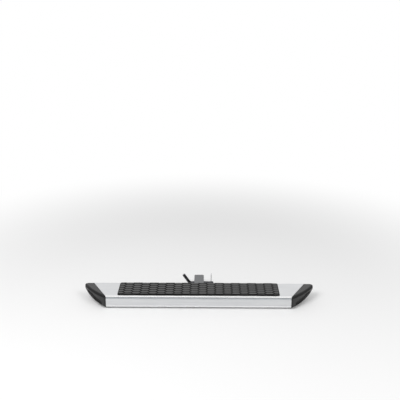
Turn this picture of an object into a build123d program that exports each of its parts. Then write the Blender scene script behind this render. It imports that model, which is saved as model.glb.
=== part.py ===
from build123d import *

import os
from math import acos, atan2, cos, hypot, pi, radians, sin, sqrt, tan

# Hitch receiver step, in millimetres. X runs along the board, +Y along the shank to its open end, +Z is up.
# The origin is on the shank's axis, in the middle of its pin hole.

# Shank: a square tube of the 2 inch hitch size, with a 5/8 inch pin
shank_width = 50.8
shank_wall = 5.0
shank_corner = 5.0
shank_bore_corner = 2.5
shank_tail = 45.0
shank_setback = 62.0
pin_behind_board = 92.0

# Board: one aluminium extrusion with mitred ends, which the end caps bring to the overall length
overall_length = 1181.0
cap_rear_width = 43.0
board_depth = 150.0
mitre_angle = 29.0
deck_thickness = 3.0
skin = 2.5
skirt_drop = 60.0
rear_drop = 16.0
return_lip = 18.0
rear_round = 2.0
nose_setback = 0.5
nose_radius = 4.0
cove_depth = 5.0
cove_height = 12.0
face_setback = 1.2
face_lean = 0.8
bead_height = 7.0
rail_spacing = 70.0

# T-slots under the deck, for M8 hex heads that slide in and cannot turn
bolt_diameter = 8.0
bolt_point_bevel = 1.0
bolt_head_width = 13.0
bolt_head_height = 5.3
slot_clearance = 0.3
slot_roof_gap = 0.7
slot_lip = 3.0
rail_wall = 3.2
bolt_hole_clearance = 0.5

# Mounting plate, gussets and the bolt stacks
plate_length = 260.0
plate_depth = 104.0
plate_thickness = 6.0
plate_corner = 12.0
bolt_spacing = 210.0
gusset_reach = 68.0
gusset_drop = 44.0
gusset_thickness = 6.0
gusset_tip = 8.0
gusset_snipe = 9.0
washer_diameter = 16.0
washer_thickness = 1.6
lock_washer_diameter = 13.6
lock_washer_thickness = 2.0
lock_washer_split = 1.4
lock_washer_slant = 20.0
nut_height = 6.5
bolt_stick_out = 3.0
washer_clearance = 0.2
thread_clearance = 0.05

# Tread pad: a base, elongated hexagon blocks in staggered columns, and barbed pegs
pad_end_margin = 56.0
pad_front_margin = 13.5
pad_rear_margin = 2.5
pad_corner = 10.0
pad_base = 3.0
pad_bevel = 1.6
pad_border = 4.0
tread_height = 3.2
tread_columns = 20
tread_rows = 5
tread_point = 11.0
tread_groove = 3.4
tread_draft = 22.0
tread_smallest_share = 0.17
peg_diameter = 8.0
peg_clearance = 0.15
peg_barb = 0.8
peg_barb_height = 3.0
peg_columns = 5
peg_gap = 10.0

# End caps: hollow mouldings with a rounded shoulder and a dished outer face
cap_front_width = 8.0
cap_corner_turn = 31.0
cap_rear_drop = 17.0
cap_belly = 12.0
cap_rear_edge = 8.0
cap_wall = 3.0
cap_front_corner = 6.0
cap_rear_corner = 17.0
cap_top_roll = 4.0
cap_foot_roll = 2.5
cap_shoulder = 12.0
cap_shoulder_bulge = 2.6
cap_rim = 2.0
cap_dish = 8.0
cap_dish_rear_gap = 46.0
cap_dish_cove = 6.0
cap_seam = 1.6
tongue_length = 32.0
tongue_root = 13.0
tongue_height = 11.0
tongue_depth = 10.0
tongue_clearance = 0.3
screw_diameter = 4.2
screw_length = 11.0
screw_head_diameter = 8.0
screw_head_height = 2.6
screw_head_bevel = 1.4
screw_inset = 15.0
screw_hole_clearance = 0.4

# Hitch pin and hairpin clip
pin_diameter = 15.9
pin_clearance = 0.3
pin_corner = 50.0
pin_bend_radius = 21.0
pin_bend = 56.0
pin_handle = 58.0
pin_nose = 12.0
pin_nose_bevel = 3.0
pin_end_bevel = 1.2
clip_station = 65.0
wire_diameter = 4.0
wire_clearance = 0.3
clip_bow_gap = 0.45
clip_top = 53.0
clip_foot = 24.0
clip_eye_radius = 9.0
clip_neck_radius = 4.0
clip_straight = 7.0
clip_flare_radius = 12.0
clip_flare = 30.0

# Heights and places that follow from the sizes above
slot_width = bolt_diameter + 2 * bolt_hole_clearance
slot_cavity_width = bolt_head_width + 2 * slot_clearance
slot_cavity_height = bolt_head_height + slot_roof_gap
rail_drop = slot_cavity_height + slot_lip
rail_width = slot_cavity_width + 2 * rail_wall
plate_underside = shank_width / 2
plate_top = plate_underside + plate_thickness
deck_z = plate_top + rail_drop + deck_thickness
front_y = -(pin_behind_board + board_depth)
rear_y = front_y + board_depth
middle_y = front_y + board_depth / 2
rail_y = (middle_y - rail_spacing / 2, middle_y + rail_spacing / 2)
rail_foot_z = deck_z - deck_thickness - rail_drop
slot_floor_z = rail_foot_z + slot_lip
bolt_places = [(x, y) for x in (-bolt_spacing / 2, bolt_spacing / 2) for y in rail_y]
mitre_slope = tan(radians(mitre_angle))
board_rear_length = overall_length - 2 * cap_rear_width
board_front_length = board_rear_length - 2 * board_depth * mitre_slope


def section_point(depth, drop):
    """A point of the board's section: its depth behind the front plane and its drop below the deck."""
    return (front_y + depth, deck_z - drop)


def mitre_x(depth):
    """Half the board's length at a depth behind its front plane."""
    return board_front_length / 2 + depth * mitre_slope


def plan_point(x, depth):
    """A point seen from above: its place along the board and its depth behind the front plane."""
    return (x, front_y + depth)


def upright(face, low, high):
    """A face drawn in plan, raised from one height to another."""
    return extrude(Pos(0, 0, low) * face, amount=high - low)


def turned(radius, height):
    """A plain round bar standing on its base."""
    return Cylinder(radius, height, align=(Align.CENTER, Align.CENTER, Align.MIN))


def hexagon(width, height):
    """A hexagonal bar standing on its base, two flats facing front and back."""
    return extrude(RegularPolygon(width / 2, 6, major_radius=False), amount=height)


def grouped(solids):
    """Separate identical solids kept as one group."""
    return Compound(children=list(solids))


# Step board. The skin is drawn as one closed line: the rear flange, the deck, the rounded nosing, the
# cove under it, the leaning front face, the bottom bead, and the return lip.
cove_foot = nose_radius + cove_height
bead_top = skirt_drop - bead_height
face_foot = face_setback + face_lean
quarter = cos(radians(45))
nose_start = section_point(nose_setback + nose_radius, 0)
nose_middle = section_point(nose_setback + nose_radius * (1 - quarter), nose_radius * (1 - quarter))
nose_end = section_point(nose_setback, nose_radius)
rear_start = section_point(board_depth, rear_round)
rear_middle = section_point(board_depth - rear_round * (1 - quarter), rear_round * (1 - quarter))
rear_end = section_point(board_depth - rear_round, 0)
bead_end = section_point(face_foot, skirt_drop)
skin_line = Curve() + [
    Line(section_point(board_depth, rear_drop), rear_start),
    ThreePointArc(rear_start, rear_middle, rear_end),
    Line(rear_end, nose_start),
    ThreePointArc(nose_start, nose_middle, nose_end),
    ThreePointArc(
        nose_end,
        section_point(cove_depth, nose_radius + cove_height / 2),
        section_point(face_setback, cove_foot),
    ),
    Line(section_point(face_setback, cove_foot), section_point(face_foot, bead_top)),
    ThreePointArc(
        section_point(face_foot, bead_top),
        section_point(0, skirt_drop - bead_height / 2),
        bead_end,
    ),
    Polyline(
        bead_end,
        section_point(return_lip, skirt_drop),
        section_point(return_lip, skirt_drop - skin),
        section_point(face_foot + skin, skirt_drop - skin),
        section_point(face_setback + skin, cove_foot + skin),
        section_point(cove_depth + skin, cove_foot - skin),
        section_point(cove_depth + skin, deck_thickness),
        section_point(board_depth - skin, deck_thickness),
        section_point(board_depth - skin, rear_drop),
        section_point(board_depth, rear_drop),
    ),
]
section = make_face(skin_line)

# Each T-slot rail hangs under the deck: a block with a cavity for the bolt head and a narrower mouth.
for y in rail_y:
    rail_block = Pos(y, rail_foot_z + rail_drop / 2) * Rectangle(rail_width, rail_drop)
    head_cavity = Rectangle(slot_cavity_width, slot_cavity_height)
    head_cavity = Pos(y, slot_floor_z + slot_cavity_height / 2) * head_cavity
    slot_mouth = Pos(y, rail_foot_z + slot_lip / 2) * Rectangle(slot_width, slot_lip)
    section = section + (rail_block - head_cavity - slot_mouth)

# The extrusion is cut to a trapezium in plan, so both ends are mitred.
board_bar = extrude(Plane.YZ * section, amount=overall_length / 2, both=True)
board_plan = Polygon(
    plan_point(-mitre_x(0), 0),
    plan_point(mitre_x(0), 0),
    plan_point(mitre_x(board_depth), board_depth),
    plan_point(-mitre_x(board_depth), board_depth),
    align=None,
)
step_board = board_bar & upright(board_plan, deck_z - skirt_drop, deck_z)

# Holes for the pad's pegs, in two rows clear of the rails.
pad_length = board_front_length - 2 * pad_end_margin
pad_depth = board_depth - pad_front_margin - pad_rear_margin
pad_y = front_y + pad_front_margin + pad_depth / 2
peg_pitch = pad_length / peg_columns
peg_rows = (rail_y[0] - rail_width / 2 - peg_gap, rail_y[1] + rail_width / 2 + peg_gap)
peg_places = [
    ((column - (peg_columns - 1) / 2) * peg_pitch, y) for column in range(peg_columns) for y in peg_rows
]
for x, y in peg_places:
    peg_hole = turned(peg_diameter / 2 + peg_clearance, deck_thickness)
    step_board = step_board - Pos(x, y, deck_z - deck_thickness) * peg_hole

# Holes for the cap screws: one up through the return lip and one through the rear flange, at each end.
front_screw_y = front_y + (face_foot + skin + return_lip) / 2
front_screw_x = mitre_x(front_screw_y - front_y) - screw_inset
rear_screw_x = mitre_x(board_depth) - screw_inset
rear_screw_z = deck_z - (deck_thickness + rear_drop) / 2
lip_underside = deck_z - skirt_drop
screw_hole = turned(screw_diameter / 2 + screw_hole_clearance, skin)
from_below = Pos(front_screw_x, front_screw_y, lip_underside)
from_behind = Pos(rear_screw_x, rear_y, rear_screw_z) * Rot(90, 0, 0)
for place in (from_below, from_behind):
    hole = place * screw_hole
    step_board = step_board - hole - mirror(hole, about=Plane.YZ)

# Tread pad: the base with its bevelled edge, then the tread blocks, then the pegs.
base_outline = Pos(0, pad_y) * RectangleRounded(pad_length, pad_depth, pad_corner)
base = upright(base_outline, deck_z, deck_z + pad_base)
base = chamfer(base.faces().sort_by(Axis.Z)[-1].edges(), pad_bevel)

# Blocks fill a staggered grid: every other column is moved half a row, so the pointed ends interlock.
# Each block is a hexagon drawn longer along the board, trimmed by the border, and drafted as moulded.
tread_length = pad_length - 2 * pad_border
tread_depth = pad_depth - 2 * pad_border
tread_field = Pos(0, pad_y) * RectangleRounded(tread_length, tread_depth, pad_corner - pad_border)
column_pitch = (tread_length - tread_point) / (tread_columns - 1)
row_pitch = tread_depth / (tread_rows + 0.5)
block_half_flat = (column_pitch - tread_point) / 2 - tread_groove / 2
block_half_depth = (row_pitch - tread_groove) / 2
block_outline = Polygon(
    (-block_half_flat - tread_point, 0),
    (-block_half_flat, -block_half_depth),
    (block_half_flat, -block_half_depth),
    (block_half_flat + tread_point, 0),
    (block_half_flat, block_half_depth),
    (-block_half_flat, block_half_depth),
    align=None,
)
smallest_block = block_outline.area * tread_smallest_share
tread_blocks = []
for column in range(tread_columns):
    x = (column - (tread_columns - 1) / 2) * column_pitch
    shift = row_pitch / 4 if column % 2 else -row_pitch / 4
    for row in range(-1, tread_rows + 1):
        y = pad_y + (row - (tread_rows - 1) / 2) * row_pitch + shift
        trimmed = (Pos(x, y) * block_outline) & tread_field
        if trimmed is None or trimmed.area < smallest_block:
            continue
        block = Pos(0, 0, deck_z + pad_base) * trimmed
        tread_blocks.append(extrude(block, amount=tread_height, taper=tread_draft))
tread_pad = base.fuse(*tread_blocks)

# A peg passes through the deck, and its barb lies under it.
barb_top = deck_z - deck_thickness - peg_clearance
for x, y in peg_places:
    peg = Pos(x, y, barb_top) * turned(peg_diameter / 2, deck_z - barb_top)
    barb = Pos(x, y, barb_top - peg_barb_height) * Cone(
        peg_diameter / 2 - peg_barb,
        peg_diameter / 2 + peg_barb,
        peg_barb_height,
        align=(Align.CENTER, Align.CENTER, Align.MIN),
    )
    tread_pad = tread_pad.fuse(peg, barb)

# End cap. Seen from above it runs from the mitre out to a bulging end with rounded corners. Its bellied
# underside rises toward the rear and outward. The right one is built, and the left is its mirror image.
corner_x = overall_length / 2 - cap_rear_corner
corner_depth = board_depth - cap_rear_corner
cap_low = deck_z - skirt_drop - cap_belly
turn_cos = cos(radians(cap_corner_turn))
turn_sin = sin(radians(cap_corner_turn))

# The bulging end is an arc that leaves the rear corner's circle smoothly and ends at the front corner.
run_x = mitre_x(0) + cap_front_width - corner_x - cap_rear_corner * turn_cos
run_depth = cap_rear_corner * turn_sin - corner_depth
end_radius = (run_x**2 + run_depth**2) / (2 * (run_depth * turn_sin - run_x * turn_cos))
end_x = corner_x + (cap_rear_corner - end_radius) * turn_cos
end_depth = corner_depth + (end_radius - cap_rear_corner) * turn_sin


def end_point(inset, depth):
    """The bulging end's place along the board at a depth, drawn in by an inset."""
    return plan_point(end_x + sqrt((end_radius - inset) ** 2 - (depth - end_depth) ** 2), depth)


def cap_plan(mitre_gap, inset):
    """The cap's outline from above: a gap outside the mitre, and drawn in by an inset."""
    radius = cap_rear_corner - inset
    corner_start_depth = corner_depth - radius * turn_sin
    corner_half = (pi / 2 - radians(cap_corner_turn)) / 2
    corner_start = plan_point(corner_x + radius * turn_cos, corner_start_depth)
    corner_middle = plan_point(
        corner_x + radius * cos(corner_half),
        corner_depth + radius * sin(corner_half),
    )
    corner_end = plan_point(corner_x, board_depth - inset)
    front_outer = end_point(inset, inset)
    front_inner = plan_point(mitre_x(inset) + mitre_gap, inset)
    rear_inner = plan_point(mitre_x(board_depth - inset) + mitre_gap, board_depth - inset)
    sides = [
        Line(front_inner, front_outer),
        ThreePointArc(front_outer, end_point(inset, (inset + corner_start_depth) / 2), corner_start),
        ThreePointArc(corner_start, corner_middle, corner_end),
        Line(corner_end, rear_inner),
        Line(rear_inner, front_inner),
    ]
    return make_face(Curve() + sides)


def over_underside(inset):
    """The space over the cap's bellied underside, raised by an inset: a drum that slants up and outward."""
    rear_run = board_depth / cos(radians(mitre_angle))
    rear_rise = skirt_drop - cap_rear_drop
    chord = sqrt(rear_run**2 + rear_rise**2)
    radius = chord**2 / (8 * cap_belly) + cap_belly / 2
    lift = (radius - cap_belly) / chord
    middle_drop = (skirt_drop + cap_rear_drop) / 2
    centre = (rear_run / 2 - rear_rise * lift, deck_z - middle_drop + rear_run * lift + inset)
    slant = (cap_rear_drop - cap_rear_edge) / cap_rear_width
    start = Plane(
        origin=(mitre_x(0) - tongue_length, front_y, -tongue_length * slant),
        x_dir=(mitre_slope, 1, 0),
        z_dir=(1, -mitre_slope, 0),
    )
    return extrude(start * Pos(*centre) * Circle(radius), amount=overall_length, dir=(1, 0, slant))


def beside_mitre(depth_0, depth_1, inward, outward, low, high):
    """A block whose ends run parallel to the mitre, from inside the board to outside it."""
    corners = [
        plan_point(mitre_x(depth_0) - inward, depth_0),
        plan_point(mitre_x(depth_0) + outward, depth_0),
        plan_point(mitre_x(depth_1) + outward, depth_1),
        plan_point(mitre_x(depth_1) - inward, depth_1),
    ]
    return upright(Polygon(*corners, align=None), low, high)


def off_mitre(edges):
    """Those edges that do not lie in the mitre plane, to within a hair."""
    hair = 0.01
    middles = [(edge, edge @ 0.5) for edge in edges]
    return [edge for edge, at in middles if abs(at.X - mitre_x(at.Y - front_y)) > hair]


def round_end(profile):
    """A profile of reach and height, turned about the upright axis of the bulging end."""
    axis_point = (end_x, front_y + end_depth, 0)
    placed = Plane(origin=axis_point, x_dir=(1, 0, 0), z_dir=(0, -1, 0)) * profile
    return revolve(placed, axis=Axis(axis_point, (0, 0, 1)))


# The outer form, with its upright corners rounded first, then the top edge, then the edge of the belly.
outer_plan = cap_plan(0, 0)
front_corner = plan_point(mitre_x(0) + cap_front_width, 0)
outer_plan = fillet(outer_plan.vertices().sort_by_distance((*front_corner, 0))[0], cap_front_corner)
cap_form = upright(outer_plan, cap_low, deck_z) & over_underside(0)
cap_form = fillet(off_mitre(cap_form.faces().sort_by(Axis.Z)[-1].edges()), cap_top_roll)
belly_face = cap_form.faces().sort_by(Axis.Z)[0]
cap_form = fillet(off_mitre(belly_face.edges()), cap_foot_roll)

# Along the bulging end a wider, flatter shoulder takes the place of the top roll.
shoulder_foot_z = deck_z - cap_shoulder
shoulder_start = (end_radius - cap_shoulder, deck_z)
shoulder_end = (end_radius, shoulder_foot_z)
shoulder_waste = Curve() + [
    SagittaArc(shoulder_start, shoulder_end, cap_shoulder_bulge),
    Polyline(
        shoulder_end,
        (end_radius + cap_shoulder, shoulder_foot_z),
        (end_radius + cap_shoulder, deck_z + cap_shoulder),
        (end_radius - cap_shoulder, deck_z + cap_shoulder),
        shoulder_start,
    ),
]
cap_form = cap_form - round_end(make_face(shoulder_waste))

# The dish is a window in the outer face that leaves a rim inside the rolled edges. Its floor turns up into
# the rim on a cove, so that a lip shows along the foot.
dish_front = cap_front_corner + cap_rim + cap_wall
dish_rear = board_depth - cap_dish_rear_gap
dish_top = shoulder_foot_z - cap_rim
dish_window = beside_mitre(dish_front, dish_rear, 0, board_depth, cap_low, dish_top)
dish_ring = Pos(end_radius, (cap_low + dish_top) / 2) * Rectangle(2 * cap_dish, dish_top - cap_low)
dish = dish_window & over_underside(cap_foot_roll + cap_rim)
dish = dish & round_end(dish_ring)
dish_floor = dish.faces().filter_by(GeomType.CYLINDER).sort_by(Axis.X)[0]
dish = fillet(dish_floor.edges().sort_by(Axis.Z)[:-1], cap_dish_cove)

# A small step along the mitre leaves a shadow line between the cap and the board.
seam_step = beside_mitre(0, board_depth, 0, cap_seam, deck_z - cap_seam, deck_z)
seam_step = seam_step + beside_mitre(0, cap_seam, 0, cap_seam, cap_low, deck_z)

# The hollow is open toward the board and stops at an end wall behind the dish. Two tongues grow from solid
# roots inside the cap: one lies on the board's return lip, the other behind its rear flange.
hollow_plan = cap_plan(-tongue_clearance, cap_wall)
end_wall = Pos(end_radius, 0) * Rectangle(2 * (cap_dish + cap_wall), 2 * overall_length)
hollow = upright(hollow_plan, cap_low, deck_z - cap_wall) & over_underside(cap_wall)
hollow = hollow - round_end(end_wall)
lip_top = lip_underside + skin + tongue_clearance
flange_inside = board_depth - skin - tongue_clearance
tongue_top = deck_z - deck_thickness - tongue_clearance
front_tongue_start = face_foot + skin + tongue_clearance
front_tongue_top = lip_top + tongue_height
rear_tongue_start = flange_inside - tongue_depth
rear_tongue_foot = tongue_top - tongue_height
root_end = board_depth - cap_wall / 2
root_top = deck_z - cap_wall / 2
front_root = beside_mitre(cap_wall / 2, return_lip, 0, tongue_root, cap_low, front_tongue_top)
rear_root = beside_mitre(rear_tongue_start, root_end, 0, tongue_root, cap_low, root_top)
front_tongue = beside_mitre(
    front_tongue_start,
    return_lip,
    tongue_length,
    tongue_root,
    lip_top,
    front_tongue_top,
)
rear_tongue = beside_mitre(
    rear_tongue_start,
    flange_inside,
    tongue_length,
    tongue_root,
    rear_tongue_foot,
    tongue_top,
)
cap_form = cap_form - dish - seam_step
end_cap_right = (cap_form - hollow) + (front_root & cap_form) + (rear_root & cap_form)
end_cap_right = end_cap_right + front_tongue + rear_tongue
pilot = turned(screw_diameter / 2 + thread_clearance, screw_length)
end_cap_right = end_cap_right - from_below * pilot - from_behind * pilot
end_cap_left = mirror(end_cap_right, about=Plane.YZ)

# End cap screws: a bevelled pan head and a plain shank.
screw_head = turned(screw_head_diameter / 2, screw_head_height)
screw_head = chamfer(screw_head.edges().sort_by(Axis.Z)[0], screw_head_bevel)
screw = Pos(0, 0, -screw_head_height) * screw_head + turned(screw_diameter / 2, screw_length)
right_screws = [from_below * screw, from_behind * screw]
end_cap_screws = grouped(right_screws + [mirror(one, about=Plane.YZ) for one in right_screws])

# Shank: a square tube with rounded corners, drilled across for the pin.
shank_front_y = front_y + shank_setback
shank_length = shank_tail - shank_front_y
tube_outline = RectangleRounded(shank_width, shank_width, shank_corner)
tube_bore = shank_width - 2 * shank_wall
tube_outline = tube_outline - RectangleRounded(tube_bore, tube_bore, shank_bore_corner)
tube_start = Plane(origin=(0, shank_front_y, 0), z_dir=(0, 1, 0))
hitch_shank = extrude(tube_start * tube_outline, amount=shank_length)
pin_hole = Rot(0, 90, 0) * Cylinder(pin_diameter / 2 + pin_clearance, shank_width)
hitch_shank = hitch_shank - pin_hole

# Mounting plate, welded on top of the shank and bolted up against the board's rails.
plate_outline = Pos(0, middle_y) * RectangleRounded(plate_length, plate_depth, plate_corner)
mounting_plate = upright(plate_outline, plate_underside, plate_top)
for x, y in bolt_places:
    bolt_hole = turned(bolt_diameter / 2 + bolt_hole_clearance, plate_thickness)
    mounting_plate = mounting_plate - Pos(x, y, plate_underside) * bolt_hole

# Gussets: triangles with blunt tips, and with the inner corner cut away to clear the tube's rounding.
shank_side = shank_width / 2
gusset_outline = Polygon(
    (shank_side + gusset_snipe, plate_underside),
    (shank_side + gusset_reach, plate_underside),
    (shank_side + gusset_reach, plate_underside - gusset_tip),
    (shank_side + gusset_tip, plate_underside - gusset_drop),
    (shank_side, plate_underside - gusset_drop),
    (shank_side, plate_underside - gusset_snipe),
    align=None,
)
gusset = extrude(Plane.XZ * gusset_outline, amount=gusset_thickness / 2, both=True)
gusset_right = Pos(0, middle_y, 0) * gusset
gusset_left = mirror(gusset_right, about=Plane.YZ)

# Bolt stacks: the head sits on the slot's lips, then the plate, a flat washer, a lock washer and a nut.
washer_z = plate_underside - washer_thickness
lock_washer_z = washer_z - lock_washer_thickness
nut_z = lock_washer_z - nut_height
bolt_foot_z = nut_z - bolt_stick_out
bolt_shank = turned(bolt_diameter / 2, slot_floor_z - bolt_foot_z)
bolt_shank = chamfer(bolt_shank.edges().sort_by(Axis.Z)[0], bolt_point_bevel)
bolt_head = Pos(0, 0, slot_floor_z) * hexagon(bolt_head_width, bolt_head_height)
bolt = Pos(0, 0, bolt_foot_z) * bolt_shank + bolt_head
washer_hole = turned(bolt_diameter / 2 + washer_clearance, washer_thickness)
washer = Pos(0, 0, washer_z) * (turned(washer_diameter / 2, washer_thickness) - washer_hole)
lock_ring = turned(lock_washer_diameter / 2, lock_washer_thickness)
lock_ring = lock_ring - turned(bolt_diameter / 2 + washer_clearance, lock_washer_thickness)
lock_split = Box(lock_washer_diameter / 2, lock_washer_split, 3 * lock_washer_thickness)
lock_split = Rot(lock_washer_slant, 0, 0) * lock_split
lock_split = Pos(lock_washer_diameter / 2, 0, lock_washer_thickness / 2) * lock_split
lock_washer = Pos(0, 0, lock_washer_z) * (lock_ring - lock_split)
nut_bore = turned(bolt_diameter / 2 + thread_clearance, nut_height)
nut = Pos(0, 0, nut_z) * (hexagon(bolt_head_width, nut_height) - nut_bore)
slot_bolts = grouped(Pos(x, y, 0) * bolt for x, y in bolt_places)
flat_washers = grouped(Pos(x, y, 0) * washer for x, y in bolt_places)
lock_washers = grouped(Pos(x, y, 0) * lock_washer for x, y in bolt_places)
hex_nuts = grouped(Pos(x, y, 0) * nut for x, y in bolt_places)

# Hitch pin: one bar, bent up at its left end for a handle, bevelled at both ends and drilled for the
# clip.
pin_tip_x = clip_station + pin_nose
handle_run = pin_handle * cos(radians(pin_bend))
handle_rise = pin_handle * sin(radians(pin_bend))
handle_end = (-pin_corner - handle_run, 0, handle_rise)
pin_path = FilletPolyline(
    (pin_tip_x, 0, 0),
    (-pin_corner, 0, 0),
    handle_end,
    radius=pin_bend_radius,
)
pin_start = Plane(origin=(pin_tip_x, 0, 0), z_dir=(-1, 0, 0))
pin_bar = sweep(pin_start * Circle(pin_diameter / 2), path=pin_path)
pin_bar = chamfer(pin_bar.faces().sort_by(Axis.X)[-1].edges(), pin_nose_bevel)
pin_bar = chamfer(pin_bar.faces().sort_by_distance(handle_end)[0].edges(), pin_end_bevel)
clip_hole = Cylinder(wire_diameter / 2 + wire_clearance, 2 * pin_diameter)
hitch_pin = pin_bar - Pos(clip_station, 0, 0) * clip_hole

# Hairpin clip, in a plane across the pin: the straight leg rises through the pin, turns three quarters
# of an eye, turns back at the neck, bows round the pin without touching it, and ends in an outward flare.
eye_y = clip_eye_radius
eye_z = clip_top - wire_diameter / 2 - clip_eye_radius
neck_y = eye_y
neck_z = eye_z - clip_eye_radius - clip_neck_radius
bow_radius = (pin_diameter + wire_diameter) / 2 + clip_bow_gap
flare_y = bow_radius + clip_flare_radius

# The wire runs from the neck's circle to the bow's circle along the line that crosses between them.
neck_angle = atan2(neck_z, neck_y)
cross_angle = neck_angle - acos((bow_radius + clip_neck_radius) / hypot(neck_y, neck_z))


def round_point(y, z, radius, angle):
    """A point on a circle in the clip's plane, its angle in radians up from +Y."""
    return (y + radius * cos(angle), z + radius * sin(angle))


def round_arc(y, z, radius, start, end):
    """An arc of a circle in the clip's plane, from one angle to another."""
    points = [round_point(y, z, radius, angle) for angle in (start, (start + end) / 2, end)]
    return ThreePointArc(*points)


flare_end = pi + radians(clip_flare)
clip_path = Wire([
    Line((0, -clip_foot), (0, eye_z)).edge(),
    round_arc(eye_y, eye_z, clip_eye_radius, pi, -pi / 2).edge(),
    round_arc(neck_y, neck_z, clip_neck_radius, pi / 2, pi + cross_angle).edge(),
    Line(
        round_point(neck_y, neck_z, clip_neck_radius, pi + cross_angle),
        round_point(0, 0, bow_radius, cross_angle),
    ).edge(),
    round_arc(0, 0, bow_radius, cross_angle, 0).edge(),
    Line((bow_radius, 0), (bow_radius, -clip_straight)).edge(),
    round_arc(flare_y, -clip_straight, clip_flare_radius, pi, flare_end).edge(),
])
wire_start = Plane(origin=(0, -clip_foot, 0), z_dir=(0, 1, 0)) * Circle(wire_diameter / 2)
wire = sweep(wire_start, path=clip_path)
hitch_pin_clip = Plane(origin=(clip_station, 0, 0), x_dir=(0, 1, 0), z_dir=(1, 0, 0)) * wire

# One file for each piece or group of identical pieces.
os.makedirs("parts", exist_ok=True)
nodes = {
    "step_board": step_board,
    "tread_pad": tread_pad,
    "end_cap_left": end_cap_left,
    "end_cap_right": end_cap_right,
    "end_cap_screws": end_cap_screws,
    "hitch_shank": hitch_shank,
    "mounting_plate": mounting_plate,
    "gusset_left": gusset_left,
    "gusset_right": gusset_right,
    "slot_bolts": slot_bolts,
    "flat_washers": flat_washers,
    "lock_washers": lock_washers,
    "hex_nuts": hex_nuts,
    "hitch_pin": hitch_pin,
    "hitch_pin_clip": hitch_pin_clip,
}
for name, shape in nodes.items():
    export_step(shape, f"parts/{name}.step")
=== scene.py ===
from math import pi, radians, tan

import bmesh
import bpy
import numpy as np
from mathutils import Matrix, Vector


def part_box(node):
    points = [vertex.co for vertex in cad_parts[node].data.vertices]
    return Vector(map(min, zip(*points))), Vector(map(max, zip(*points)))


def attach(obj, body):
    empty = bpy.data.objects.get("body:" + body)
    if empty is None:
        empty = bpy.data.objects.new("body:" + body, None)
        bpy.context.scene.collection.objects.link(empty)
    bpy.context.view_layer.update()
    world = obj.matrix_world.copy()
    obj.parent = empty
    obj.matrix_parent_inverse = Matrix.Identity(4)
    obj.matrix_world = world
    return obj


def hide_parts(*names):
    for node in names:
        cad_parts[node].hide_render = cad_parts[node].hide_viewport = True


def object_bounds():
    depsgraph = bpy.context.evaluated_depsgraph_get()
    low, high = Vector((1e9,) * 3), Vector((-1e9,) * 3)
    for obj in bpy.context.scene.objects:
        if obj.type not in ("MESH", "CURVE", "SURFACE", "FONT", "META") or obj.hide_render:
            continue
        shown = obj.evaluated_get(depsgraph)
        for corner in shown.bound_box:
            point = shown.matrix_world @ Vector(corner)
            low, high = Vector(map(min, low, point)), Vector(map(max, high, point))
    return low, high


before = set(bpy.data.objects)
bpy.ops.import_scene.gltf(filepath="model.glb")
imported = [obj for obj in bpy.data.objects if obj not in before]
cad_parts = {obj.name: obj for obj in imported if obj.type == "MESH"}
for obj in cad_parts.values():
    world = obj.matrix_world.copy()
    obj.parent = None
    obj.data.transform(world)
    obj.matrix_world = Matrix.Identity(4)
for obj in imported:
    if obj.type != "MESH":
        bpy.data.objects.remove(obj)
cad_box = [list(corner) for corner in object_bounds()]

# Shank, mounting plate and gussets.
# A square steel tube with a plate welded on top and a gusset on each side. They are coated together in grey
# powder, which cures to a satin skin with a slight orange peel.
MM = 0.001
peel_size = 2.2 * MM
speck_size = 0.7 * MM
cloud_size = 60 * MM
rub_length = 45 * MM
rub_width = 1.6 * MM


def linear(hex_colour):
    """An sRGB hex colour as linear red, green, blue and alpha."""
    srgb = np.array([int(hex_colour[i : i + 2], 16) for i in (1, 3, 5)]) / 255
    light = np.where(srgb <= 0.04045, srgb / 12.92, ((srgb + 0.055) / 1.055) ** 2.4)
    return (*light.tolist(), 1.0)


def add(tree, kind, settings=None, links=None):
    """Adds one shader node. Settings are its properties or input values, links feed its inputs."""
    node = tree.nodes.new("ShaderNode" + kind)
    for name, value in (settings or {}).items():
        if isinstance(name, str) and hasattr(node, name):
            setattr(node, name, value)
        else:
            node.inputs[name].default_value = value
    for name, output in (links or {}).items():
        tree.links.new(output, node.inputs[name])
    return node


def new_finish(name, **sockets):
    """A material whose one shader has these values. Gives it with its tree, shader and place in metres."""
    material = bpy.data.materials.new(name)
    material.use_nodes = True
    tree = material.node_tree
    shader = tree.nodes["Principled BSDF"]
    for socket, value in sockets.items():
        shader.inputs[socket.replace("_", " ")].default_value = value
    place = add(tree, "TexCoord").outputs["Object"]
    return material, tree, shader, place


def coat(material, *names):
    """Puts a material on CAD nodes."""
    for name in names:
        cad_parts[name].material_slots[0].material = material


# A Mix node of colours has its share, its first and second colour and its result in these sockets.
SHARE, FIRST, SECOND, MIXED = 0, 6, 7, 2

# The coat is even grey, a little paler where it lies thick, with long faint rubs along the tube.
powder, tree, shader, place = new_finish("grey_powder_coat", Specular_IOR_Level=0.5)
peel = add(tree, "TexNoise", {"Scale": 1 / peel_size, "Detail": 1.0}, {"Vector": place})
specks = add(tree, "TexNoise", {"Scale": 1 / speck_size, "Detail": 0.0}, {"Vector": place})
clouds = add(tree, "TexNoise", {"Scale": 1 / cloud_size, "Detail": 3.0}, {"Vector": place})
stretch = {"Scale": (1 / rub_width, 1 / rub_length, 1 / rub_width)}
rubs = add(tree, "Mapping", stretch, {"Vector": place})
rubs = add(tree, "TexNoise", {"Scale": 1.0, "Detail": 2.0}, {"Vector": rubs.outputs["Vector"]})
greys = {"data_type": "RGBA", FIRST: linear("#5d5e60"), SECOND: linear("#6d6e70")}
colour = add(tree, "Mix", greys, {SHARE: clouds.outputs["Fac"]})
fleck = {"From Min": 0.55, "From Max": 0.75, "To Min": 0.0, "To Max": 0.35}
fleck = add(tree, "MapRange", fleck, {"Value": specks.outputs["Fac"]})
pale = {"data_type": "RGBA", SECOND: linear("#85868a")}
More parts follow.
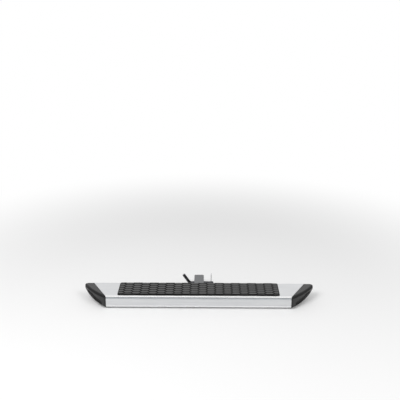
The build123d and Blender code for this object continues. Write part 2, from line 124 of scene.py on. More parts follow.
colour = add(tree, "Mix", pale, {SHARE: fleck.outputs["Result"], FIRST: colour.outputs[MIXED]})
tree.links.new(colour.outputs[MIXED], shader.inputs["Base Color"])
satin = {"From Min": 0.35, "From Max": 0.7, "To Min": 0.5, "To Max": 0.36}
satin = add(tree, "MapRange", satin, {"Value": rubs.outputs["Fac"]})
tree.links.new(satin.outputs["Result"], shader.inputs["Roughness"])
relief = {"Strength": 0.3, "Distance": 0.12 * MM}
bump = add(tree, "Bump", relief, {"Height": peel.outputs["Fac"]})
tree.links.new(bump.outputs["Normal"], shader.inputs["Normal"])
coat(powder, "hitch_shank", "mounting_plate", "gusset_left", "gusset_right")

# Weld beads.
# The plate is welded to the tube along both sides and across both ends, and each gusset to the plate and to
# the tube. The beads lie under the powder coat, with a ripple for each step of the torch.
ripple_pitch = 3.2 * MM
ripple_share = 0.16
bead_station = 0.5 * MM
bead_around = 14
off_line = 0.3
merge_distance = 0.001 * MM
tube_bead = 3.4 * MM
gusset_bead = 2.8 * MM
bead_end_gap = 2.5 * MM
groove_in = 1.2 * MM
groove_down = 1.8 * MM
gusset_snipe = 9.0 * MM
tube_flat = 17.0 * MM


def skin(name, stacks, material, body, looped=False):
    """One mesh from stacks of closed rings. A stack is an array of copies, rings, points and x, y, z. Each
    ring is joined to the next by quads. Flat lids close the first and last rings, or, where the stacks are
    looped, the last ring joins the first. Points that coincide are merged, and the piece rides a body."""
    faces = []
    total = 0
    for rings in stacks:
        copies, count, around = rings.shape[:3]
        low = total + np.arange(copies * count * around).reshape(copies, count, around)
        high = np.roll(low, -1, axis=1)
        if not looped:
            faces += low[:, 0, ::-1].tolist() + low[:, -1].tolist()
            low, high = low[:, :-1], high[:, :-1]
        sides = [low, np.roll(low, -1, axis=2), np.roll(high, -1, axis=2), high]
        faces += np.stack(sides, axis=-1).reshape(-1, 4).tolist()
        total += copies * count * around
    mesh = bpy.data.meshes.new(name)
    mesh.from_pydata(np.concatenate([rings.reshape(-1, 3) for rings in stacks]).tolist(), [], faces)
    form = bmesh.new()
    form.from_mesh(mesh)
    bmesh.ops.remove_doubles(form, verts=form.verts, dist=merge_distance)
    form.to_mesh(mesh)
    form.free()
    mesh.shade_smooth()
    mesh.materials.append(material)
    piece = bpy.data.objects.new(name, mesh)
    bpy.context.scene.collection.objects.link(piece)
    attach(piece, body)
    return piece


def bead(start, end, radius):
    """A weld bead as one stack of rings: a circle carried along a straight line. Its radius swells by a
    share at each ripple, as the size of a sine does, and rounds off to nothing at both ends on a quarter
    circle."""
    start, end = np.array(start), np.array(end)
    length = np.linalg.norm(end - start)
    along = (end - start) / length
    # Any direction that leaves the line gives the circle its two axes.
    side = np.cross(along, np.roll(np.abs(along), 1) + off_line)
    side = side / np.linalg.norm(side)
    up = np.cross(along, side)
    distance = np.linspace(0, length, int(length / bead_station))
    ripple = np.abs(np.sin(pi * distance / ripple_pitch))
    end_gap = np.clip(np.minimum(distance, length - distance) / radius, 0, 1)
    reach = radius * (1 - ripple_share * (1 - ripple)) * np.sqrt(1 - (1 - end_gap) ** 2)
    angle = np.linspace(0, 2 * pi, bead_around, endpoint=False)
    circle = np.cos(angle)[:, None] * side + np.sin(angle)[:, None] * up
    rings = start + distance[:, None, None] * along + reach[:, None, None] * circle
    return rings[None]


tube_low, tube_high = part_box("hitch_shank")
plate_low, plate_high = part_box("mounting_plate")
gusset_low, gusset_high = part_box("gusset_right")
groove_z = plate_low.z - groove_down
seams = []
for side in (-1, 1):
    groove_x = side * (tube_high.x - groove_in)
    first = (groove_x, tube_low.y + bead_end_gap, groove_z)
    last = (groove_x, plate_high.y - bead_end_gap, groove_z)
    seams.append(bead(first, last, tube_bead))
    for y in (gusset_low.y, gusset_high.y):
        first = (side * (tube_high.x + gusset_snipe + bead_end_gap), y, plate_low.z)
        last = (side * (gusset_high.x - bead_end_gap), y, plate_low.z)
        seams.append(bead(first, last, gusset_bead))
        first = (side * tube_high.x, y, plate_low.z - gusset_snipe - bead_end_gap)
        last = (side * tube_high.x, y, gusset_low.z + bead_end_gap)
        seams.append(bead(first, last, gusset_bead))
for y in (tube_low.y, plate_high.y):
    seams.append(bead((-tube_flat, y, plate_low.z), (tube_flat, y, plate_low.z), tube_bead))
skin("weld_beads", seams, powder, "step")

# Step board.
# One aluminium extrusion, mitred at both ends and satin anodised in clear silver. The die leaves fine lines
# along its whole length, which stretch every reflection across them.
die_line_width = 2.2 * MM
die_line_length = 260 * MM
etch_size = 1.1 * MM
shade_size = 90 * MM
nose_foot = 4.0 * MM
cove_foot = 18.0 * MM
cove_soft = 4.5 * MM
bead_top = 7.0 * MM
bead_soft = 2.0 * MM
bead_highlight = 0.6
highlight_gloss = 0.1
etch_share = 0.35
aluminium, tree, shader, place = new_finish("satin_anodised_aluminium", Metallic=1.0)
# The die's lines are far finer than the picture shows, so they are drawn about 2 mm wide.
stretch = {"Scale": (1 / die_line_length, 1 / die_line_width, 1 / die_line_width)}
lines = add(tree, "Mapping", stretch, {"Vector": place})
lines = add(tree, "TexNoise", {"Scale": 1.0, "Detail": 3.0}, {"Vector": lines.outputs["Vector"]})
shades = add(tree, "TexNoise", {"Scale": 1 / shade_size, "Detail": 2.0}, {"Vector": place})
etch = add(tree, "TexNoise", {"Scale": 1 / etch_size, "Detail": 1.0}, {"Vector": place})
tone = add(tree, "MapRange", {"From Min": 0.3, "From Max": 0.7}, {"Value": lines.outputs["Fac"]})
silvers = {"data_type": "RGBA", FIRST: linear("#d6d7d9"), SECOND: linear("#e1e2e3")}
colour = add(tree, "Mix", silvers, {SHARE: tone.outputs["Result"]})
# In front, the nosing and the bead at the foot carry a painted highlight, and the cove between them a
# painted shade.
board_low, board_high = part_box("step_board")
deck_z = board_high.z
point = add(tree, "SeparateXYZ", None, {"Vector": place})
at_front = {"From Min": board_low.y + 2 * cove_soft, "From Max": board_low.y + cove_soft}
at_front = add(tree, "MapRange", at_front, {"Value": point.outputs["Y"]})
under_nose = {"From Min": deck_z - nose_foot, "From Max": deck_z - nose_foot - cove_soft}
under_nose = add(tree, "MapRange", under_nose, {"Value": point.outputs["Z"]})
over_face = {"From Min": deck_z - cove_foot, "From Max": deck_z - cove_foot + cove_soft}
over_face = add(tree, "MapRange", over_face, {"Value": point.outputs["Z"]})
links = {0: under_nose.outputs["Result"], 1: over_face.outputs["Result"]}
in_cove = add(tree, "Math", {"operation": "MULTIPLY"}, links)
links = {0: in_cove.outputs["Value"], 1: at_front.outputs["Result"]}
in_cove = add(tree, "Math", {"operation": "MULTIPLY"}, links)
# Painted shade: the cove under the nosing is darkened to a greyer silver.
shade_and_matt = {"data_type": "RGBA", SECOND: linear("#b1b5b8")}
colour = add(tree, "Mix", shade_and_matt, {SHARE: in_cove.outputs["Value"], FIRST: colour.outputs[MIXED]})
# Painted highlight: the nosing and the bead are lightened toward white, and made a little glossier there.
on_nose = {"From Min": deck_z - nose_foot - cove_soft, "From Max": deck_z - nose_foot}
on_nose = add(tree, "MapRange", on_nose, {"Value": point.outputs["Z"]})
bead_line = board_low.z + bead_top
on_bead = {"From Min": bead_line + bead_soft, "From Max": bead_line - bead_soft, "To Max": bead_highlight}
on_bead = add(tree, "MapRange", on_bead, {"Value": point.outputs["Z"]})
links = {0: on_nose.outputs["Result"], 1: on_bead.outputs["Result"]}
painted_highlight = add(tree, "Math", {"operation": "MAXIMUM"}, links)
links = {0: painted_highlight.outputs["Value"], 1: at_front.outputs["Result"]}
painted_highlight = add(tree, "Math", {"operation": "MULTIPLY"}, links)
bright = {"data_type": "RGBA", SECOND: linear("#fafafa")}
colour = add(tree, "Mix", bright, {SHARE: painted_highlight.outputs["Value"], FIRST: colour.outputs[MIXED]})
tree.links.new(colour.outputs[MIXED], shader.inputs["Base Color"])
satin = {"From Min": 0.3, "From Max": 0.7, "To Min": 0.3, "To Max": 0.4}
satin = add(tree, "MapRange", satin, {"Value": shades.outputs["Fac"]})
shine = {"operation": "MULTIPLY_ADD", 1: -highlight_gloss}
shine = add(tree, "Math", shine, {0: painted_highlight.outputs["Value"], 2: satin.outputs["Result"]})
tree.links.new(shine.outputs["Value"], shader.inputs["Roughness"])
height = {"operation": "MULTIPLY_ADD", 1: etch_share}
height = add(tree, "Math", height, {0: etch.outputs["Fac"], 2: lines.outputs["Fac"]})
relief = {"Strength": 0.12, "Distance": 0.05 * MM}
bump = add(tree, "Bump", relief, {"Height": height.outputs["Value"]})
tree.links.new(bump.outputs["Normal"], shader.inputs["Normal"])
coat(aluminium, "step_board")
board_depth = board_high.y - board_low.y
board_middle_y = (board_low.y + board_high.y) / 2

# Bolts, washers and nuts.
# Four hexagon bolts slide along the slots under the deck. Each is drawn down on the plate by a nut over a
# lock washer and a flat washer, all rolled or pressed from steel and plated in bright zinc.
bolt_spacing = 210 * MM
rail_spacing = 70 * MM
bolt_bevel = 1.0 * MM
thread_pitch = 1.25 * MM
thread_crest = 4.15 * MM
thread_root = 3.7 * MM
thread_rings = 26
fastener_around = 48
nut_flats = 13.0 * MM
nut_face = 12.2 * MM
nut_bore = 8.1 * MM
nut_countersink = 9.0 * MM
nut_slope = tan(radians(30))
nut_sharp = radians(25)
spangle_size = 3.0 * MM
# Zinc plate is bright and faintly blue, with a shine that changes from spangle to spangle.
zinc, tree, shader, place = new_finish("bright_zinc_plate", Metallic=1.0)
spangle = add(tree, "TexNoise", {"Scale": 1 / spangle_size, "Detail": 3.0}, {"Vector": place})
blues = {"data_type": "RGBA", FIRST: linear("#aeb2b8"), SECOND: linear("#cdcfd0")}
colour = add(tree, "Mix", blues, {SHARE: spangle.outputs["Fac"]})
tree.links.new(colour.outputs[MIXED], shader.inputs["Base Color"])
gloss = {"From Min": 0.3, "From Max": 0.7, "To Min": 0.24, "To Max": 0.4}
gloss = add(tree, "MapRange", gloss, {"Value": spangle.outputs["Fac"]})
tree.links.new(gloss.outputs["Result"], shader.inputs["Roughness"])
relief = {"Strength": 0.2, "Distance": 0.05 * MM}
bump = add(tree, "Bump", relief, {"Height": spangle.outputs["Fac"]})
tree.links.new(bump.outputs["Normal"], shader.inputs["Normal"])
coat(zinc, "slot_bolts", "flat_washers", "lock_washers")

bolt_places = np.array(
    [
        (x * bolt_spacing / 2, board_middle_y + y * rail_spacing / 2, 0)
        for x in (-1, 1)
        for y in (-1, 1)
    ]
)
around = np.linspace(0, 2 * pi, fastener_around, endpoint=False)


def turned(radius, height):
    """Rings about the upright axis, from a radius and a height for each ring, or for each of its points."""
    radius, height = np.broadcast_arrays(radius, height, np.zeros((1, len(around))))[:2]
    return np.stack([radius * np.cos(around), radius * np.sin(around), height], axis=-1)


# A nut's rings run up the outside, in over the top, down the bore and out under the foot. Outside, its
# radius is that of a hexagon with two flats facing front and back, and a cone cuts the corners off.
nut_low, nut_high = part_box("hex_nuts")
off_flat = around % (pi / 3) - pi / 6
hexagon = nut_flats / 2 / np.cos(off_flat)
corner_cut = np.maximum(hexagon - nut_face / 2, 0) * nut_slope
face = np.minimum(hexagon, nut_face / 2)
sink = (nut_countersink - nut_bore) / 2
nut = np.concatenate(
    [
        turned(nut_countersink / 2, nut_low.z),
        turned(face, nut_low.z),
        turned(hexagon, nut_low.z + corner_cut),
        turned(hexagon, nut_high.z - corner_cut),
        turned(face, nut_high.z),
        turned(nut_countersink / 2, nut_high.z),
        turned(nut_bore / 2, nut_high.z - sink),
        turned(nut_bore / 2, nut_low.z + sink),
    ]
)
nuts = nut + bolt_places[:, None, None]
nuts = skin("chamfered_nuts", [nuts], zinc, "step", looped=True)
nuts.data.set_sharp_from_angle(angle=nut_sharp)
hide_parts("hex_nuts")

# A rolled thread stands round each bolt's end: its ridge climbs one pitch in each turn.
bolt_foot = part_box("slot_bolts")[0].z
climb = np.linspace(bolt_foot + bolt_bevel, nut_low.z, thread_rings)[:, None]
ridge = 1 - np.abs(2 * ((climb / thread_pitch - around / (2 * pi)) % 1) - 1)
threads = turned(thread_root + (thread_crest - thread_root) * ridge, climb)
skin("bolt_threads", [threads + bolt_places[:, None, None]], zinc, "step")

# Tread pad.
# A moulded rubber mat with rows of long six-sided lugs, every other column set half a lug over. It is held
# by barbed pegs pushed through the deck, and the mould leaves its lugs with drafted sides and soft edges.
pad_border = 4.0 * MM
pad_corner = 10.0 * MM
pad_base = 3.0 * MM
pad_edge = 1.6 * MM
lug_height = 3.2 * MM
lug_columns = 20
lug_rows = 5
lug_point = 11.0 * MM
lug_groove = 3.4 * MM
lug_draft = radians(22)
lug_edge = 0.8 * MM
lug_corner = 1.3 * MM
lug_sunk = 0.4 * MM
lug_flat_margin = 0.8 * MM
smallest_share = 0.17
corner_steps = 9
edge_steps = 5
peg_columns = 5
peg_reach = 55 * MM
peg_radius = 4.0 * MM
barb_radius = 4.8 * MM
barb_point_radius = 3.2 * MM
barb_height = 3.0 * MM
barb_edge = 0.4 * MM
deck_thickness = 3.15 * MM
rubber_grain = 1.4 * MM
bloom_size = 70 * MM
grey_start = 0.5
grey_full = 0.98

# Black rubber, greyer on the lug tops, with painted shade that darkens it to near black down between the
# lugs.
rubber, tree, shader, place = new_finish("moulded_black_rubber", Specular_IOR_Level=0.2)
grain = add(tree, "TexNoise", {"Scale": 1 / rubber_grain, "Detail": 2.0}, {"Vector": place})
bloom = add(tree, "TexNoise", {"Scale": 1 / bloom_size, "Detail": 3.0}, {"Vector": place})
greys = {"data_type": "RGBA", FIRST: linear("#464646"), SECOND: linear("#555555")}
tops = add(tree, "Mix", greys, {SHARE: bloom.outputs["Fac"]})
point = add(tree, "SeparateXYZ", None, {"Vector": place})
lug_foot = deck_z + pad_base
grey_from = lug_foot + grey_start * lug_height
grey_to = lug_foot + grey_full * lug_height
risen = {"interpolation_type": "SMOOTHSTEP", "From Min": grey_from, "From Max": grey_to}
risen = add(tree, "MapRange", risen, {"Value": point.outputs["Z"]})
# Painted shade: below the lug tops the colour sinks to near black.
painted_groove_shade = {"data_type": "RGBA", FIRST: linear("#050505")}
colour = add(tree, "Mix", painted_groove_shade, {SHARE: risen.outputs["Result"], SECOND: tops.outputs[MIXED]})
tree.links.new(colour.outputs[MIXED], shader.inputs["Base Color"])
matt = {"From Min": 0.3, "From Max": 0.7, "To Min": 0.48, "To Max": 0.62}
matt = add(tree, "MapRange", matt, {"Value": grain.outputs["Fac"]})
tree.links.new(matt.outputs["Result"], shader.inputs["Roughness"])
relief = {"Strength": 0.35, "Distance": 0.12 * MM}
bump = add(tree, "Bump", relief, {"Height": grain.outputs["Fac"]})
tree.links.new(bump.outputs["Normal"], shader.inputs["Normal"])

# The base: rounded rectangles, drawn in as they go round the top edge on a quarter circle.
pad_low, pad_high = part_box("tread_pad")
pad_half = np.array([pad_high.x - pad_low.x, pad_high.y - pad_low.y]) / 2
pad_middle = np.array([pad_high.x + pad_low.x, pad_high.y + pad_low.y]) / 2
roll = np.linspace(0, pi / 2, edge_steps)
inset = np.concatenate([[0], pad_edge * (1 - np.cos(roll)), [2 * pad_edge]])
height = np.concatenate([[0], pad_base - pad_edge * (1 - np.sin(roll)), [pad_base]])
quarter = np.arange(4)[:, None]
turn = (quarter * pi / 2 + np.linspace(0, pi / 2, corner_steps)).ravel()
corner_sign = np.repeat(np.array([(1, 1), (-1, 1), (-1, -1), (1, -1)]), corner_steps, axis=0)
corner_round = np.stack([np.cos(turn), np.sin(turn)], axis=-1)
outline = pad_middle + corner_sign * (pad_half - pad_corner)
outline = outline + (pad_corner - inset)[:, None, None] * corner_round
levels = np.broadcast_to((deck_z + height)[:, None, None], (*outline.shape[:2], 1))
base = np.concatenate([outline, levels], axis=-1)[None]

# The lugs: hexagons drawn in by an inset at each height, up the drafted wall and over the soft edge.
field_half = pad_half - pad_border
column_pitch = (2 * field_half[0] - lug_point) / (lug_columns - 1)
row_pitch = 2 * field_half[1] / (lug_rows + 0.5)
half_flat = (column_pitch - lug_point) / 2 - lug_groove / 2
half_depth = (row_pitch - lug_groove) / 2
edge_height = lug_height - lug_edge
edge_inset = (edge_height + lug_edge * np.sin(lug_draft)) * tan(lug_draft) + lug_edge * np.cos(lug_draft)
roll = np.linspace(lug_draft, pi / 2, edge_steps)
inset = np.concatenate([[0, 0], edge_inset - lug_edge * np.cos(roll), [edge_inset + lug_flat_margin]])
height = np.concatenate([[-lug_sunk, 0], edge_height + lug_edge * np.sin(roll), [lug_height]])
slant = np.hypot(lug_point, half_depth)
tip = half_flat + lug_point - inset * slant / half_depth
flat = half_flat - inset * (slant - lug_point) / half_depth
deep = half_depth - inset
across = np.stack([tip, flat, -flat, -tip, -flat, flat], axis=-1)
along = np.stack([0 * tip, deep, deep, 0 * tip, -deep, -deep], axis=-1)
corners = np.stack([across, along], axis=-1)
to_last = np.roll(corners, 1, axis=1) - corners
to_next = np.roll(corners, -1, axis=1) - corners
to_last = lug_corner * to_last / np.linalg.norm(to_last, axis=-1, keepdims=True)
to_next = lug_corner * to_next / np.linalg.norm(to_next, axis=-1, keepdims=True)
hexagons = np.stack([corners + to_last, corners + to_next], axis=2).reshape(len(inset), -1, 2)

# Each lug is moved to its place and trimmed by the field's rounded outline. Slivers are left out.
column, row = np.meshgrid(np.arange(lug_columns), np.arange(-1, lug_rows + 1), indexing="ij")
half_row_over = np.where(column % 2, row_pitch, -row_pitch) / 4
lug_x = (column - (lug_columns - 1) / 2) * column_pitch
lug_y = (row - (lug_rows - 1) / 2) * row_pitch + half_row_over
lug_places = np.stack([lug_x.ravel(), lug_y.ravel()], axis=-1)
lugs = lug_places[:, None, None] + hexagons
field_corner = (pad_corner - pad_border - inset)[:, None, None]
core = field_half - (pad_corner - pad_border)
kept = np.clip(np.abs(lugs), 0, core + field_corner)
past_core = np.maximum(kept - core, 0)
past_length = np.maximum(np.linalg.norm(past_core, axis=-1, keepdims=True), field_corner)
kept = np.minimum(kept, core) + past_core * field_corner / past_length
lugs = np.sign(lugs) * kept
foot = lugs[:, 0]
foot_next = np.roll(foot, -1, axis=1)
area = np.abs((foot[..., 0] * foot_next[..., 1] - foot[..., 1] * foot_next[..., 0]).sum(axis=1)) / 2
lugs = lugs[area > smallest_share * area.max()] + pad_middle
levels = np.broadcast_to((lug_foot + height)[:, None, None], (*lugs.shape[:3], 1))
lugs = np.concatenate([lugs, levels], axis=-1)

# The pegs: turned rings from the barb's point, out to its rim under the deck, and up through the hole.
barb_top = deck_z - deck_thickness
peg_rings = [
    (barb_point_radius - barb_edge, barb_top - barb_height),
    (barb_point_radius, barb_top - barb_height + barb_edge),
    (barb_radius, barb_top - barb_edge),
    (barb_radius, barb_top),
    (peg_radius, barb_top),
    (peg_radius, deck_z + pad_base / 2),
]
peg_radii, peg_heights = np.array(peg_rings).T
peg = turned(peg_radii[:, None], peg_heights[:, None])
peg_pitch = 2 * pad_half[0] / peg_columns
peg_x = (np.arange(peg_columns) - (peg_columns - 1) / 2) * peg_pitch
peg_x, peg_y = np.meshgrid(peg_x, board_middle_y + np.array([-peg_reach, peg_reach]))
peg_places = np.stack([peg_x.ravel(), peg_y.ravel(), 0 * peg_x.ravel()], axis=-1)
pegs = peg + peg_places[:, None, None]
pad = skin("moulded_tread_pad", [base, lugs, pegs], rubber, "step")
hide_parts("tread_pad")

# End caps.
# Hollow black mouldings, left and right, with a satin skin. Each slides its two tongues into the board and
# is held there by a screw from below and one from behind.
spark_grain = 1.0 * MM
flow_size = 45 * MM
lip_breakup_size = 6 * MM
lip_front_drop = 67 * MM
lip_climb = 0.36
lip_height = 4.5 * MM
# The moulded skin is near black and smooth, with a sheen that wanders a little where the melt flowed.
cap_plastic, tree, shader, place = new_finish("satin_moulded_plastic", Specular_IOR_Level=0.5)
grain = add(tree, "TexNoise", {"Scale": 1 / spark_grain, "Detail": 2.0}, {"Vector": place})
flow = add(tree, "TexNoise", {"Scale": 1 / flow_size, "Detail": 2.0}, {"Vector": place})
blacks = {"data_type": "RGBA", FIRST: linear("#0e0e0f"), SECOND: linear("#161617")}
colour = add(tree, "Mix", blacks, {SHARE: flow.outputs["Fac"]})
# The lower lip climbs toward the rear. Along it the skin carries a painted highlight in grey, broken up by
# noise.
point = add(tree, "SeparateXYZ", None, {"Vector": place})
slope = {"operation": "MULTIPLY_ADD", 1: -lip_climb}
above = add(tree, "Math", slope, {0: point.outputs["Y"], 2: point.outputs["Z"]})
lip_line = deck_z - lip_front_drop - lip_climb * board_low.y
near_lip = {"From Min": lip_line + lip_height, "From Max": lip_line + lip_height / 3}
near_lip = add(tree, "MapRange", near_lip, {"Value": above.outputs["Value"]})
under_lip = {"From Min": lip_line - lip_height, "From Max": lip_line - lip_height / 3}
under_lip = add(tree, "MapRange", under_lip, {"Value": above.outputs["Value"]})
links = {0: near_lip.outputs["Result"], 1: under_lip.outputs["Result"]}
at_lip = add(tree, "Math", {"operation": "MULTIPLY"}, links)
lip_highlight_breakup = add(tree, "TexNoise", {"Scale": 1 / lip_breakup_size, "Detail": 4.0}, {"Vector": place})
lip_highlight = {"From Min": 0.25, "From Max": 0.6, "To Min": 0.5, "To Max": 1.0}
lip_highlight = add(tree, "MapRange", lip_highlight, {"Value": lip_highlight_breakup.outputs["Fac"]})
links = {0: at_lip.outputs["Value"], 1: lip_highlight.outputs["Result"]}
lip_highlight = add(tree, "Math", {"operation": "MULTIPLY"}, links)
# Painted highlight: the band along the lip is lightened to grey.
wear_and_lip_highlight = {"data_type": "RGBA", SECOND: linear("#585858")}
colour = add(tree, "Mix", wear_and_lip_highlight, {SHARE: lip_highlight.outputs["Value"], FIRST: colour.outputs[MIXED]})
tree.links.new(colour.outputs[MIXED], shader.inputs["Base Color"])
satin = {"From Min": 0.3, "From Max": 0.7, "To Min": 0.2, "To Max": 0.3}
satin = add(tree, "MapRange", satin, {"Value": flow.outputs["Fac"]})
tree.links.new(satin.outputs["Result"], shader.inputs["Roughness"])
relief = {"Strength": 0.25, "Distance": 0.06 * MM}
bump = add(tree, "Bump", relief, {"Height": grain.outputs["Fac"]})
tree.links.new(bump.outputs["Normal"], shader.inputs["Normal"])
coat(cap_plastic, "end_cap_left", "end_cap_right")

# End cap screws.
# Pan head screws with a cross recess, cold formed from steel and coated black. One goes up through the
# board's lip and one through its rear flange, at each end, into the cap's tongues.
screw_inset = 15 * MM
screw_depth = 11.25 * MM
flange_middle = 9.5 * MM
mitre_slope = tan(radians(29))
screw_head = 4.0 * MM
screw_head_side = 0.9 * MM
screw_head_height = 2.6 * MM
screw_shank = 2.1 * MM
screw_point = 1.2 * MM
screw_length = 11.0 * MM
dome_rings = 16
dome_last = radians(88)
recess_length = 2.3 * MM
recess_width = 0.62 * MM
recess_depth = 1.3 * MM
recess_draft = 0.25 * MM
screw_sharp = radians(40)
coat_grain = 0.9 * MM
# The coat is a dull black that shows a fine grain and a little of the metal's shine.
black_coat, tree, shader, place = new_finish("black_coated_steel", Metallic=0.6)
grain = add(tree, "TexNoise", {"Scale": 1 / coat_grain, "Detail": 2.0}, {"Vector": place})
blacks = {"data_type": "RGBA", FIRST: linear("#161617"), SECOND: linear("#2b2b2d")}
colour = add(tree, "Mix", blacks, {SHARE: grain.outputs["Fac"]})
tree.links.new(colour.outputs[MIXED], shader.inputs["Base Color"])
shade_and_matt = {"From Min": 0.3, "From Max": 0.7, "To Min": 0.32, "To Max": 0.48}
shade_and_matt = add(tree, "MapRange", shade_and_matt, {"Value": grain.outputs["Fac"]})
tree.links.new(shade_and_matt.outputs["Result"], shader.inputs["Roughness"])

# The head is a dome of turned rings, pressed in where a point lies within either bar of the cross.
dome = np.linspace(0, dome_last, dome_rings)[:, None]
dome_radius = screw_head * np.cos(dome)
dome_x = np.abs(dome_radius * np.cos(around))
dome_y = np.abs(dome_radius * np.sin(around))
long_way = np.maximum(dome_x, dome_y)
short_way = np.minimum(dome_x, dome_y)
within = np.minimum(recess_length - long_way, recess_width - short_way) / recess_draft
pressed = recess_depth * np.clip(within, 0, 1) * (1 - long_way / (2 * recess_length))
dome_height = screw_head_side + (screw_head_height - screw_head_side) * np.sin(dome) - pressed
screw_rings = [
    turned(screw_point / 2, -screw_length),
    turned(screw_shank, screw_point - screw_length),
    turned(screw_shank, 0),
    turned(screw_head, 0),
    turned(dome_radius, dome_height),
]
screw = np.concatenate(screw_rings)
rear_x = board_high.x - screw_inset
front_x = board_high.x - (board_depth - screw_depth) * mitre_slope - screw_inset
facing_down = np.diag([1, -1, -1])
facing_back = np.array([(1, 0, 0), (0, 0, -1), (0, 1, 0)])
front_seat = np.array([front_x, board_low.y + screw_depth, board_low.z])
rear_seat = np.array([rear_x, board_high.y, deck_z - flange_middle])
other_end = np.array([-1, 1, 1])
screws = [
    (screw @ axes + seat * end)[None]
    for axes, seat in ((facing_down, front_seat), (facing_back, rear_seat))
    for end in (1, other_end)
]
screws = skin("pan_head_screws", screws, black_coat, "step")
screws.data.set_sharp_from_angle(angle=screw_sharp)
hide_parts("end_cap_screws")

# Hitch pin.
# A steel bar, bent hot at one end for a handle, bevelled at both ends and plated dark. Its plate is thinner
# and brighter in long rubs where it slides through the tube.
pin_cloud = 14 * MM
pin_rub_length = 30 * MM
pin_rub_width = 1.5 * MM
pitting = 0.8 * MM
dark_plate, tree, shader, place = new_finish("dark_plated_steel", Metallic=1.0)
clouds = add(tree, "TexNoise", {"Scale": 1 / pin_cloud, "Detail": 3.0}, {"Vector": place})
stretch = {"Scale": (1 / pin_rub_length, 1 / pin_rub_width, 1 / pin_rub_width)}
rubs = add(tree, "Mapping", stretch, {"Vector": place})
rubs = add(tree, "TexNoise", {"Scale": 1.0, "Detail": 2.0}, {"Vector": rubs.outputs["Vector"]})
pits = add(tree, "TexNoise", {"Scale": 1 / pitting, "Detail": 2.0}, {"Vector": place})
greys = {"data_type": "RGBA", FIRST: linear("#434346"), SECOND: linear("#58585b")}
colour = add(tree, "Mix", greys, {SHARE: clouds.outputs["Fac"]})
wear_and_lip_highlight = {"From Min": 0.56, "From Max": 0.72, "To Min": 0.0, "To Max": 0.6}
wear_and_lip_highlight = add(tree, "MapRange", wear_and_lip_highlight, {"Value": rubs.outputs["Fac"]})
bright = {"data_type": "RGBA", SECOND: linear("#88888c")}
colour = add(tree, "Mix", bright, {SHARE: wear_and_lip_highlight.outputs["Result"], FIRST: colour.outputs[MIXED]})
tree.links.new(colour.outputs[MIXED], shader.inputs["Base Color"])
gloss = {"From Min": 0.3, "From Max": 0.7, "To Min": 0.28, "To Max": 0.44}
gloss = add(tree, "MapRange", gloss, {"Value": clouds.outputs["Fac"]})
tree.links.new(gloss.outputs["Result"], shader.inputs["Roughness"])
relief = {"Strength": 0.25, "Distance": 0.06 * MM}
bump = add(tree, "Bump", relief, {"Height": pits.outputs["Fac"]})
tree.links.new(bump.outputs["Normal"], shader.inputs["Normal"])
coat(dark_plate, "hitch_pin")

# Hairpin clip.
# One length of bright spring wire, drawn through a die and bent cold. It springs round the pin's end and
# keeps the pin from sliding out.
draw_length = 8 * MM
draw_width = 0.8 * MM
# Drawn wire is bright, with faint streaks along its legs.
spring, tree, shader, place = new_finish("bright_spring_wire", Metallic=1.0)
stretch = {"Scale": (1 / draw_width, 1 / draw_width, 1 / draw_length)}
drawn = add(tree, "Mapping", stretch, {"Vector": place})
drawn = add(tree, "TexNoise", {"Scale": 1.0, "Detail": 2.0}, {"Vector": drawn.outputs["Vector"]})
silvers = {"data_type": "RGBA", FIRST: linear("#cfd0d2"), SECOND: linear("#ebecec")}
colour = add(tree, "Mix", silvers, {SHARE: drawn.outputs["Fac"]})
tree.links.new(colour.outputs[MIXED], shader.inputs["Base Color"])
gloss = {"From Min": 0.3, "From Max": 0.7, "To Min": 0.16, "To Max": 0.28}
gloss = add(tree, "MapRange", gloss, {"Value": drawn.outputs["Fac"]})
tree.links.new(gloss.outputs["Result"], shader.inputs["Roughness"])
relief = {"Strength": 0.15, "Distance": 0.03 * MM}
bump = add(tree, "Bump", relief, {"Height": drawn.outputs["Fac"]})
tree.links.new(bump.outputs["Normal"], shader.inputs["Normal"])
coat(spring, "hitch_pin_clip")

# Studio floor.
# A plain pale floor just under the shank. To the eye it fades to white away from the object, and it is
# clear when seen from below, so that the underside shows.
floor_gap = 0.2 * MM
floor_half = 40.0
fade_start = 0.8
fade_end = 2.2
corners = np.array([(-1, -1), (1, -1), (1, 1), (-1, 1)]) * floor_half
floor_z = cad_box[0][2] - floor_gap
floor_mesh = bpy.data.meshes.new("floor")
floor_mesh.from_pydata([(x, y, floor_z) for x, y in corners.tolist()], [], [(0, 1, 2, 3)])
floor = bpy.data.objects.new("floor", floor_mesh)
bpy.context.scene.collection.objects.link(floor)
pale_floor, tree, shader, place = new_finish("pale_floor", Roughness=0.9, Specular_IOR_Level=0.1)
shader.inputs["Base Color"].default_value = linear("#f4f4f4")
away = add(tree, "VectorMath", {"operation": "LENGTH"}, {0: place})
fade = {"interpolation_type": "SMOOTHSTEP", "From Min": fade_start, "From Max": fade_end}
fade = add(tree, "MapRange", fade, {"Value": away.outputs["Value"]})
ray = add(tree, "LightPath")
links = {0: fade.outputs["Result"], 1: ray.outputs["Is Camera Ray"]}
fade = add(tree, "Math", {"operation": "MULTIPLY"}, links)
white = add(tree, "Emission", {"Color": (1, 1, 1, 1), "Strength": 1.0})
links = {0: fade.outputs["Value"], 1: shader.outputs["BSDF"], 2: white.outputs["Emission"]}
surface = add(tree, "MixShader", None, links)
links = {0: add(tree, "NewGeometry").outputs["Backfacing"], 1: ray.outputs["Is Camera Ray"]}
from_below = add(tree, "Math", {"operation": "MULTIPLY"}, links)
clear = add(tree, "BsdfTransparent")
links = {0: from_below.outputs["Value"], 1: surface.outputs["Shader"], 2: clear.outputs["BSDF"]}
surface = add(tree, "MixShader", None, links)
tree.links.new(surface.outputs["Shader"], tree.nodes["Material Output"].inputs["Surface"])
floor_mesh.materials.append(pale_floor)

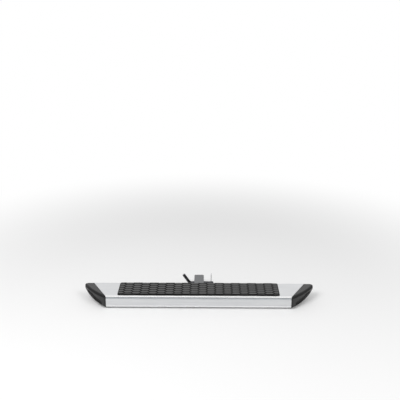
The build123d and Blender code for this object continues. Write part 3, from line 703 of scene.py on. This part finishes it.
# Studio room and lamps.
# A white room, bright in gloss overhead, behind and most of all at a skylight high in front. A large lamp
# stands at the left and a weaker one at the right. They don't show in gloss, so that no metal burns out.
room_light = 0.54
front_gloss = 0.4
wall_rim = 0.45
wall_full = 0.8
ceiling_rim = 0.6
ceiling_full = 0.95
skylight_rise = radians(50)
skylight_rim = 0.78
skylight_full = 0.93
skylight_gloss = 1.3
key_place = (-1.7, -1.9, 3.0)
key_size = 1.8
key_watts = 66
fill_place = (2.1, -1.7, 2.8)
fill_size = 1.6
fill_watts = 31
world = bpy.data.worlds.new("white_room")
world.use_nodes = True
bpy.context.scene.world = world
tree = world.node_tree
tree.nodes.clear()
ray = add(tree, "LightPath")
way = add(tree, "TexCoord").outputs["Generated"]
# Each bright part of the room fades in from the cosine at its rim to the one where it is full.
toward = add(tree, "SeparateXYZ", None, {"Vector": way})
behind = {"interpolation_type": "SMOOTHSTEP", "From Min": wall_rim, "From Max": wall_full}
behind = add(tree, "MapRange", behind, {"Value": toward.outputs["Y"]})
overhead = {"interpolation_type": "SMOOTHSTEP", "From Min": ceiling_rim, "From Max": ceiling_full}
overhead = add(tree, "MapRange", overhead, {"Value": toward.outputs["Z"]})
links = {0: behind.outputs["Result"], 1: overhead.outputs["Result"]}
pale_part = add(tree, "Math", {"operation": "MAXIMUM"}, links)
in_gloss = {"To Min": front_gloss, "To Max": 1.0}
in_gloss = add(tree, "MapRange", in_gloss, {"Value": pale_part.outputs["Value"]})
to_skylight = (0, -np.cos(skylight_rise), np.sin(skylight_rise))
skylight = add(tree, "VectorMath", {"operation": "DOT_PRODUCT", 1: to_skylight}, {0: way})
glow = {"interpolation_type": "SMOOTHSTEP", "From Min": skylight_rim, "From Max": skylight_full}
glow["To Max"] = skylight_gloss
skylight = add(tree, "MapRange", glow, {"Value": skylight.outputs["Value"]})
links = {0: in_gloss.outputs["Result"], 1: skylight.outputs["Result"]}
in_gloss = add(tree, "Math", {"operation": "MAXIMUM"}, links)
links = {"Value": ray.outputs["Is Glossy Ray"], "To Max": in_gloss.outputs["Value"]}
level = add(tree, "MapRange", {"To Min": room_light}, links)
links = {0: ray.outputs["Is Camera Ray"], 1: ray.outputs["Is Transmission Ray"]}
seen = add(tree, "Math", {"operation": "MAXIMUM"}, links)
links = {"Value": seen.outputs["Value"], "To Min": level.outputs["Result"]}
level = add(tree, "MapRange", {"To Max": 1.0}, links)
room = {"Color": (1, 1, 1, 1)}
room = add(tree, "Background", room, {"Strength": level.outputs["Result"]})
add(tree, "OutputWorld", None, {"Surface": room.outputs["Background"]})


def soft_box(name, place, aim, size, watts):
    """A square area lamp at a place, turned toward an aim and left out of gloss."""
    lamp = bpy.data.lights.new(name, "AREA")
    lamp.size = size
    lamp.energy = watts
    holder = bpy.data.objects.new(name, lamp)
    holder.location = place
    holder.visible_glossy = False
    facing = Vector(aim) - Vector(place)
    holder.rotation_euler = facing.to_track_quat("-Z", "Y").to_euler()
    bpy.context.scene.collection.objects.link(holder)


board_middle = (0.0, board_middle_y, deck_z)
soft_box("key_lamp", key_place, board_middle, key_size, key_watts)
soft_box("fill_lamp", fill_place, board_middle, fill_size, fill_watts)

# Camera.
# It stands in front of the board and a little to the right, 1.5 m up, and looks down over it.
camera_place = (0.0412, -3.0916, 1.5448)
camera_pitch = radians(19.164)
camera_turn = radians(0.671)
camera_lens = 57.42
camera_film = 36.0
lens = bpy.data.cameras.new("camera")
lens.sensor_width = camera_film
lens.lens = camera_lens
camera = bpy.data.objects.new("camera", lens)
camera.location = camera_place
camera.rotation_euler = (radians(90) - camera_pitch, 0, camera_turn)
bpy.context.scene.collection.objects.link(camera)
bpy.context.scene.camera = camera
bpy.context.scene.view_settings.view_transform = "Standard"
